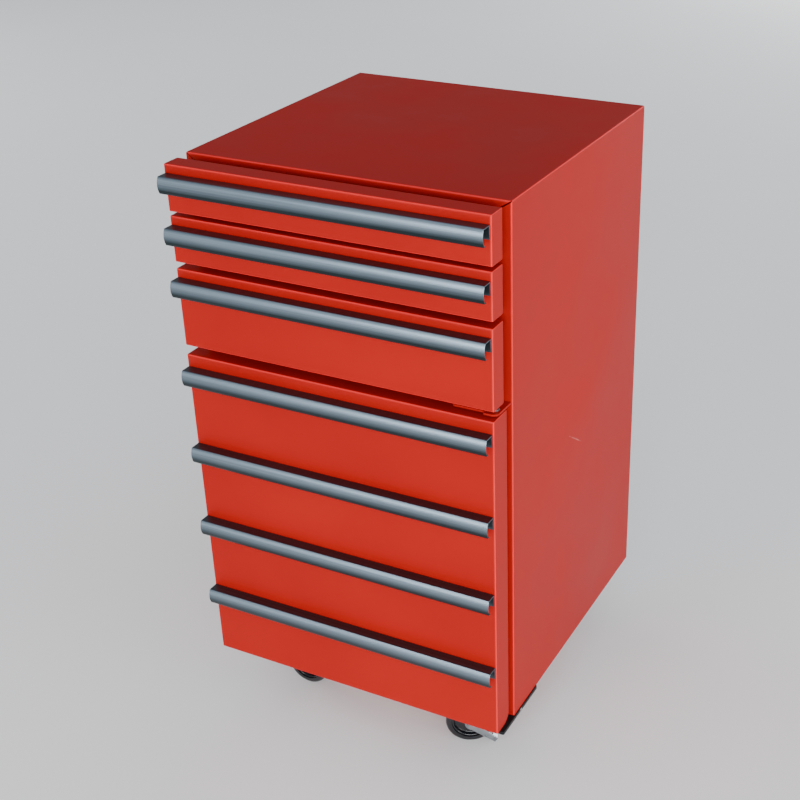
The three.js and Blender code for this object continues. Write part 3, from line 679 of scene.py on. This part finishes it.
rim = rear_turn / 2
end_gap, steps, top_pitch = 30 * MM, 5, 150 * MM
rise = (shell_high.z - shell_low.z - 2 * end_gap) / steps
rows = [shell_low.z + end_gap + i * rise for i in range(steps + 1)]
rear_points = [(side * (shell_half - rim), shell_high.y, z) for side in (-1, 1) for z in rows]
rear_points += [(i * top_pitch, shell_high.y, shell_high.z - rim) for i in (-1, 0, 1)]
rear_screws = pan_screw.use("rear_screws", zinc, rear_points, Facing=(0.0, 1.0, 0.0))
fit(rear_screws, zinc, "zinc_plate", "cabinet")

# ---- Vents and cord gland ----
# Nine slots in the back panel behind the compressor bay, each with a rolled bead over it, and the
# moulded gland of the mains lead.

black_moulding = Finish("black_moulding", Roughness=0.5)
stipple = black_moulding.grain(700.0, 1.0)
black_moulding.shows(
    Base_Color=black_moulding.tint(black_moulding.grain(20.0), colour(20, 21, 23), colour(30, 31, 33)),
    Normal=black_moulding.relief(stipple * (0.03 * MM)),
)
gland = rounded_copy("cord_gland", "lead_gland", 0.8 * MM, 3)
fit(gland, black_moulding, "black_moulding", "cabinet", "cord_gland")

panel_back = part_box("back_panel")[1].y
vent_left, vent_right, vent_pitch, first_vent = -70 * MM, 190 * MM, 12 * MM, 35.4 * MM
louvre = Recipe("louvre", Count=9, Length=vent_right - vent_left, Depth=1.3 * MM, Pitch=vent_pitch)
line = louvre.step("GeometryNodeMeshLine", {"mode": "OFFSET"}, {
    "Count": louvre.given["Count"],
    "Offset": louvre.step("ShaderNodeCombineXYZ", sockets={2: louvre.given["Pitch"]}),
})
roll_round = louvre.step("GeometryNodeMeshCylinder", sockets={
    "Vertices": 12, "Radius": louvre.given["Depth"], "Depth": louvre.given["Length"],
})
laid = louvre.step("GeometryNodeTransform", sockets={0: roll_round, "Rotation": (0.0, math.pi / 2, 0.0)})
start = louvre.step("GeometryNodeSetPosition", sockets={
    0: line, "Offset": (0.5 * (vent_left + vent_right), panel_back, shell_low.z + first_vent),
})
louvre.end(louvre.step("GeometryNodeInstanceOnPoints", sockets={0: start, "Instance": laid}))
vents = louvre.use("vent_louvres", galvanised, [(0, 0, 0)])
vents.data.set_sharp_from_angle(angle=math.radians(50))
fit(vents, galvanised, "galvanised_sheet", "cabinet")

# ---- Drawer trays and slides ----
# Galvanised trays with rolled rims, hung on three-member slides of zinc-plated channel: one
# member on the cabinet's wall, one between, and one on the tray.

for number in (1, 2, 3):
    tray = rounded_copy(f"drawer_tray_{number}", f"drawer_bin_{number}", 0.45 * MM)
    fit(tray, galvanised, "galvanised_sheet", f"drawer_{number}", f"drawer_tray_{number}")
    for side in ("left", "right"):
        rail = rounded_copy(f"cabinet_rail_{number}_{side}", f"outer_member_{number}_{side}", 0.4 * MM)
        fit(rail, zinc, "zinc_plate", "cabinet", f"cabinet_rail_{number}_{side}")
        member = rounded_copy(f"middle_member_{number}_{side}", f"centre_member_{number}_{side}", 0.4 * MM)
        fit(member, zinc, "zinc_plate", f"slide_middle_{number}", f"middle_member_{number}_{side}")

# ---- Hinges ----
# A red plate fills part of the gap over the door and carries the upper pin; a black bracket is
# screwed under the cabinet and carries the lower one.

black_coat = Finish("black_coated_steel", Metallic=0.0, Specular_IOR_Level=0.15)
black_coat.shows(
    Base_Color=black_coat.tint(black_coat.grain(30.0), colour(14, 15, 17), colour(26, 28, 30)),
    Roughness=black_coat.between(black_coat.grain(80.0), 0.3, 0.7, 0.32, 0.5),
    Normal=black_coat.relief(black_coat.grain(400.0) * (0.02 * MM)),
)
upper = rounded_copy("upper_hinge", "upper_hinge_plate", 0.5 * MM)
fit(upper, red_coat, "red_powder_coat", "cabinet", "upper_hinge")
bracket_low, bracket_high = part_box("lower_hinge")
stands_out, stands_down, bracket_hole = 2 * MM, 1.4 * MM, 3.5 * MM
outer_edge, bracket_foot = bracket_high.x + stands_out, bracket_low.z - stands_down
eye = pin_line.y - bracket_low.y
outline = [(pin_line.x + eye * c, pin_line.y + eye * s) for c, s in arc(180, 270, 8)]
for radius, y, start in ((3 * MM, bracket_low.y + 3 * MM, 270), (6 * MM, bracket_high.y - 6 * MM, 0)):
    outline += [(outer_edge - radius + radius * c, y + radius * s) for c, s in arc(start, start + 90, 6)]
outline += [(bracket_low.x, bracket_high.y), (bracket_low.x, shell_low.y)]
levels = (bracket_foot, bracket_high.z)
lower = loft("lower_hinge_bracket", [[(x, y, z) for x, y in outline] for z in levels], capped=True)
carve(lower, bar(bracket_hole, bracket_foot - MM, bracket_high.z + MM, pin_line))
ease(lower, 0.6 * MM, 3)
fit(settle(lower), black_coat, "black_steel", "cabinet", "lower_hinge")
for end in ("upper", "lower"):
    pin = rounded_copy(f"{end}_hinge_pin", f"{end}_pin", 0.3 * MM)
    fit(pin, zinc, "zinc_plate", "cabinet", f"{end}_hinge_pin")
screw_x = bracket_high.x - 12 * MM
screw_points = [(screw_x, shell_low.y + y * MM, bracket_foot) for y in (14, 38, 62)]
screws = pan_screw.use(
    "bracket_screws", zinc, screw_points, Radius=4.2 * MM, Height=2.2 * MM, Facing=(0.0, 0.0, -1.0)
)
fit(screws, zinc, "zinc_plate", "cabinet")
side_place = (outer_edge, (bracket_low.y + bracket_high.y) / 2, (bracket_foot + bracket_high.z) / 2)
side_screw = pan_screw.use(
    "bracket_side_screw", zinc, [side_place], Radius=2.2 * MM, Height=1.0 * MM, Facing=(1.0, 0.0, 0.0)
)
fit(side_screw, zinc, "zinc_plate", "cabinet")

# ---- Cold space ----
# A vacuum-formed white liner stepped over the compressor, a wire shelf on its ledges, the
# chiller with its flap, and the thermostat in its housing.

white_liner = Finish("white_liner", Roughness=0.28)
white_liner.shows(
    Base_Color=white_liner.tint(white_liner.grain(3.0), colour(226, 229, 228), colour(236, 238, 236)),
    Normal=white_liner.relief(white_liner.grain(35.0) * (0.12 * MM)),
)
white_moulding = Finish("white_moulding", Roughness=0.4)
white_moulding.shows(
    Base_Color=white_moulding.tint(white_moulding.grain(8.0), colour(220, 223, 222), colour(230, 232, 230)),
    Normal=white_moulding.relief(white_moulding.grain(600.0, 1.0) * (0.015 * MM)),
)
cold_plate = Finish("cold_plate", Metallic=0.9)
channels = cold_plate.node("TexWave", {"wave_profile": "SIN", "bands_direction": "X"}, {
    "Vector": cold_plate.place, "Scale": 14.0, "Distortion": 3.0, "Detail": 0.0,
})
cold_plate.shows(
    Base_Color=cold_plate.tint(cold_plate.grain(50.0), colour(196, 202, 206), colour(214, 219, 222)),
    Roughness=cold_plate.between(cold_plate.grain(30.0), 0.3, 0.7, 0.3, 0.45),
    Normal=cold_plate.relief(channels * (0.5 * MM)),
)
cold_pieces = [
    ("chiller_box", "chiller", 0.4, cold_plate, "cold_plate", "cabinet"),
    ("chiller_flap", "chiller_door", 0.6, white_moulding, "white_moulding", "flap"),
    ("thermostat_housing", "thermostat_cover", 1.6, white_moulding, "white_moulding", "cabinet"),
    ("thermostat_knob", "cold_control", 0.8, white_moulding, "white_moulding", "knob"),
]
for node, name, edge, finish, slot, body in cold_pieces:
    fit(rounded_copy(node, name, edge * MM, 3), finish, slot, body, node)

# The liner is one formed sheet: a flat rim, and a tub whose floor steps up over the compressor
# bay and its foam.
liner_low, liner_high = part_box("food_liner")
shelf_low, shelf_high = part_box("wire_shelf")
liner_rim, liner_wall, liner_bend = 18 * MM, 2 * MM, 5 * MM
tub_half, tub_back = liner_high.x - liner_rim, liner_high.y - liner_wall
tub_floor, tub_roof = liner_low.z + liner_rim, liner_high.z - liner_rim
bay_depth, bay_height, bay_foam = 147 * MM, 150 * MM, 38 * MM
step_y = shell_high.y - bay_depth - bay_foam
step_z = shell_low.z + bay_height + bay_foam
tub_side = [
    (liner_low.y, tub_floor), (step_y, tub_floor), (step_y, step_z),
    (tub_back, step_z), (tub_back, tub_roof), (liner_low.y, tub_roof),
]
points = [(x, y, z) for x in (-tub_half, tub_half) for y, z in tub_side]
points += [(x, liner_low.y, z) for x, z in (
    (liner_low.x, liner_low.z), (liner_high.x, liner_low.z),
    (liner_high.x, liner_high.z), (liner_low.x, liner_high.z),
)]
faces = [(j, j + 1, j + 7, j + 6) for j in range(5)] + [tuple(range(5, -1, -1)), tuple(range(6, 12))]
mouth = (0, 6, 11, 5)
faces += [(mouth[j - 1], mouth[j], 12 + j, 12 + (j - 1) % 4) for j in range(4)]
tub = new_piece("cold_liner", points, faces)
shape = bmesh.new()
shape.from_mesh(tub.data)
bmesh.ops.recalc_face_normals(shape, faces=shape.faces)
shape.faces.ensure_lookup_table()
if shape.faces[0].normal.z < 0:
    bmesh.ops.reverse_faces(shape, faces=shape.faces)
shape.to_mesh(tub.data)
shape.free()
ease(tub, liner_bend, 4)
thicken(tub, liner_wall)
bake(tub)
ledge_section, root, seam = 7 * MM, 1 * MM, 0.3 * MM
ledge_top = shelf_low.z - seam
ledge_front = shelf_low.y - 1.8 * MM
ledges = []
for side in (-1, 1):
    left, right = sorted((side * (tub_half + root), side * (tub_half - ledge_section)))
    plan = ((left, ledge_front), (right, ledge_front), (right, tub_back + root), (left, tub_back + root))
    levels = (ledge_top - ledge_section, ledge_top)
    ledge = loft("ledge", [[(x, y, z) for x, y in plan] for z in levels], capped=True)
    ease(ledge, 2 * MM, 3)
    bake(ledge)
    ledges.append(ledge)
carve(tub, *ledges, operation="UNION")
fit(settle(tub), white_liner, "white_liner", "cabinet", "food_liner")

# The shelf: a bent frame with wires from front to back, all of one round section.
wire = 3.6 * MM
grid = Recipe("wire_grid", Wires=9, Wire_radius=wire / 2, Bend=8 * MM, First=0.0, Last=1.0,
              Low=(0.0, 0.0, 0.0), High=(1.0, 1.0, 1.0))
lows = grid.step("ShaderNodeSeparateXYZ", sockets={0: grid.given["Low"]}).node.outputs
highs = grid.step("ShaderNodeSeparateXYZ", sockets={0: grid.given["High"]}).node.outputs
circle = grid.step("GeometryNodeCurvePrimitiveCircle", sockets={
    "Resolution": 12, "Radius": grid.given["Wire radius"],
})


def wires(count, start_sockets, end_sockets, first, last):
    """Round bars from start to end, repeated count times from x first to x last."""
    start_at = grid.step("ShaderNodeCombineXYZ", sockets=start_sockets)
    end_at = grid.step("ShaderNodeCombineXYZ", sockets=end_sockets)
    stroke = grid.step("GeometryNodeCurvePrimitiveLine", sockets={"Start": start_at, "End": end_at})
    round_bar = grid.step("GeometryNodeCurveToMesh", sockets={
        0: stroke, "Profile Curve": circle, "Fill Caps": True,
    })
    row = grid.step("GeometryNodeMeshLine", {"mode": "END_POINTS"}, {
        "Count": count,
        "Start Location": grid.step("ShaderNodeCombineXYZ", sockets={0: first}),
        "Offset": grid.step("ShaderNodeCombineXYZ", sockets={0: last}),
    })
    return grid.step("GeometryNodeInstanceOnPoints", sockets={0: row, "Instance": round_bar})


lengthwise = wires(
    grid.given["Wires"], {1: lows[1], 2: lows[2]}, {1: highs[1], 2: lows[2]},
    grid.given["First"], grid.given["Last"],
)
both_corners = {0: grid.given["High"], 1: grid.given["Low"]}
extent = grid.step("ShaderNodeVectorMath", {"operation": "SUBTRACT"}, both_corners)
spans = grid.step("ShaderNodeSeparateXYZ", sockets={0: extent}).node.outputs
outline = grid.step("GeometryNodeCurvePrimitiveQuadrilateral", sockets={
    "Width": spans[0], "Height": spans[1],
})
bent = grid.step("GeometryNodeFilletCurve", {"mode": "POLY"}, {
    "Curve": outline, "Count": 5, "Radius": grid.given["Bend"],
})
corner_sum = grid.step("ShaderNodeVectorMath", {"operation": "ADD"}, both_corners)
centre = grid.step("ShaderNodeVectorMath", {"operation": "SCALE"}, {0: corner_sum, "Scale": 0.5})
placed = grid.step("GeometryNodeTransform", sockets={0: bent, "Translation": centre})
frame_bar = grid.step("GeometryNodeCurveToMesh", sockets={0: placed, "Profile Curve": circle})
grid.end(grid.step("GeometryNodeJoinGeometry", sockets={0: [lengthwise, frame_bar]}))
inner = Vector((wire / 2, wire / 2, wire / 2))
gaps = 10
pitch = (shelf_high.x - shelf_low.x - wire) / gaps
shelf = grid.use(
    "shelf_wires", zinc, [(0, 0, 0)], Low=tuple(shelf_low + inner), High=tuple(shelf_high - inner),
    First=shelf_low.x + wire / 2 + pitch, Last=shelf_high.x - wire / 2 - pitch,
)
shelf.data.set_sharp_from_angle(angle=math.radians(50))
fit(shelf, zinc, "zinc_plate", "cabinet", "wire_shelf")

# ---- Door inside ----
# Rigid foam behind the skin, a moulded liner with three racks, and a magnetic gasket of grey
# vinyl whose bellows meets the steel frame.

foam = Finish("insulation", Roughness=0.95)
cells = foam.node("TexVoronoi", {}, {"Vector": foam.place, "Scale": 900.0})
foam.shows(
    Base_Color=foam.tint(foam.grain(30.0), colour(214, 196, 132), colour(226, 210, 150)),
    Normal=foam.relief(cells * (0.3 * MM)),
)
for node in ("cabinet_foam", "door_foam"):
    for held in frame["nodes"][node].material_slots:
        held.material = foam.material
fit(rounded_copy("door_liner", "door_racks", 0.6 * MM, 3), white_liner, "white_liner", "door", "door_liner")

vinyl = Finish("gasket_vinyl", Roughness=0.6)
vinyl.shows(
    Base_Color=vinyl.tint(vinyl.grain(25.0), colour(92, 95, 97), colour(112, 115, 117)),
    Normal=vinyl.relief(vinyl.grain(500.0, 1.0) * (0.02 * MM)),
)
seal_low, seal_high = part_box("door_gasket")
seal_depth = seal_high.y - seal_low.y
# The seal's section: how far in from its edge, in millimetres, and the share of its depth.
seal_shape = [(0, 0), (0, 0.28), (2.6, 0.42), (0.8, 0.58), (0, 0.74), (0, 0.94), (1.2, 1.0),
              (10.8, 1.0), (12, 0.94), (12, 0.74), (11.2, 0.58), (9.4, 0.42), (12, 0.28), (12, 0)]
seal_rings = []
for right, up in ((0, 0), (1, 0), (1, 1), (0, 1)):
    ring = []
    for inset, depth in seal_shape:
        x = seal_high.x - inset * MM if right else seal_low.x + inset * MM
        z = seal_high.z - inset * MM if up else seal_low.z + inset * MM
        ring.append((x, seal_low.y + depth * seal_depth, z))
    seal_rings.append(ring)
seal = loft("magnetic_seal", seal_rings, joined=True)
ease(seal, 0.3 * MM)
fit(settle(seal), vinyl, "gasket", "door", "door_gasket")

# ---- Compressor ----
# A hermetic can in two drawn halves, welded at a flange, on a plate with rubber grommets.

enamel = Finish("compressor_enamel", Roughness=0.28)
enamel.shows(
    Base_Color=enamel.tint(enamel.grain(12.0), colour(12, 12, 14), colour(22, 22, 24)),
    Normal=enamel.relief(enamel.grain(60.0) * (0.05 * MM)),
)
can = rounded_copy("compressor", "compressor_can", 0.0)
fit(can, enamel, "compressor_black", "cabinet", "compressor")

# ---- Casters ----
# Zinc-plated plates, ball races and forks; glossy black moulded wheels; a stamped brake lever on
# each of the front two.

wheel_black = Finish("wheel_black", Coat_Weight=0.3)
wheel_black.shows(
    Base_Color=wheel_black.tint(wheel_black.grain(25.0), colour(8, 9, 13), colour(15, 16, 22)),
    Roughness=wheel_black.between(wheel_black.grain(60.0), 0.3, 0.7, 0.12, 0.24),
    Normal=wheel_black.relief(wheel_black.grain(200.0) * (0.02 * MM)),
)
tyre_half, tyre_radius, rim_radius, shoulder = 12.5 * MM, 37.5 * MM, 28.5 * MM, 5 * MM
bolt_inset, washer_gap = 8.5 * MM, 0.6 * MM
# Sections turned round an axis, in millimetres: the radius, and the place along the axis.
race_section = [
    (17.0, 0.0), (25.0, 0.0), (27.0, -1.2), (27.4, -3.2), (26.2, -5.2), (22.5, -6.4), (17.0, -6.4),
]
hub_half = [(4.8, 13.4), (10.0, 13.4), (12.5, 6.0), (24.0, 6.0), (26.5, 10.6), (28.5, 10.6)]
hub_section = [(r, -a) for r, a in hub_half] + hub_half[::-1]
quarter = arc(0, 90, 8)
tread = [(rim_radius, -tyre_half)]
tread += [(tyre_radius - shoulder * (1 - s), -tyre_half + shoulder * (1 - c)) for c, s in quarter]
tread += [(tyre_radius - shoulder * (1 - c), tyre_half - shoulder * (1 - s)) for c, s in quarter]
tread += [(rim_radius, tyre_half)]
for corner in ("front_left", "front_right", "rear_left", "rear_right"):
    plate_low, plate_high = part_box(f"caster_plate_{corner}")
    plate = rounded_copy(f"caster_plate_{corner}", f"top_plate_{corner}", 0.7 * MM)
    fit(plate, zinc, "zinc_plate", "cabinet", f"caster_plate_{corner}")
    heads = [
        (x, y, plate_low.z - washer_gap)
        for x in (plate_low.x + bolt_inset, plate_high.x - bolt_inset)
        for y in (plate_low.y + bolt_inset, plate_high.y - bolt_inset)
    ]
    fit(hex_bolt.use(f"plate_bolts_{corner}", zinc, heads), zinc, "zinc_plate", "cabinet")

    fork = rounded_copy(f"caster_fork_{corner}", f"fork_{corner}", 0.6 * MM, 3)
    fit(fork, zinc, "zinc_plate", f"swivel_{corner}", f"caster_fork_{corner}")
    turn_x, turn_y, _ = joints[f"swivel_{corner}_turn"]["pos_m"]
    crown = (turn_x, turn_y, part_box(f"caster_fork_{corner}")[1].z)
    race = lathe(f"ball_race_{corner}", [(r * MM, z * MM) for r, z in race_section], (0, 0, 1), crown)
    ease(race, 0.4 * MM)
    fit(settle(race), zinc, "zinc_plate", f"swivel_{corner}")

    axle, hub_centre = (joints[f"wheel_{corner}_spin"][key] for key in ("axis", "pos_m"))
    tyre = lathe(f"tyre_{corner}", tread, axle, hub_centre, 64)
    fit(settle(tyre), wheel_black, "wheel_black", f"wheel_{corner}", f"caster_wheel_{corner}")
    hub = lathe(f"hub_{corner}", [(r * MM, a * MM) for r, a in hub_section], axle, hub_centre)
    ease(hub, 0.5 * MM)
    fit(settle(hub), wheel_black, "wheel_black", f"wheel_{corner}")
    if corner.startswith("front"):
        lever = rounded_copy(f"brake_lever_{corner}", f"brake_pedal_{corner}", 0.45 * MM, 3)
        fit(lever, zinc, "zinc_plate", f"lever_{corner}", f"brake_lever_{corner}")
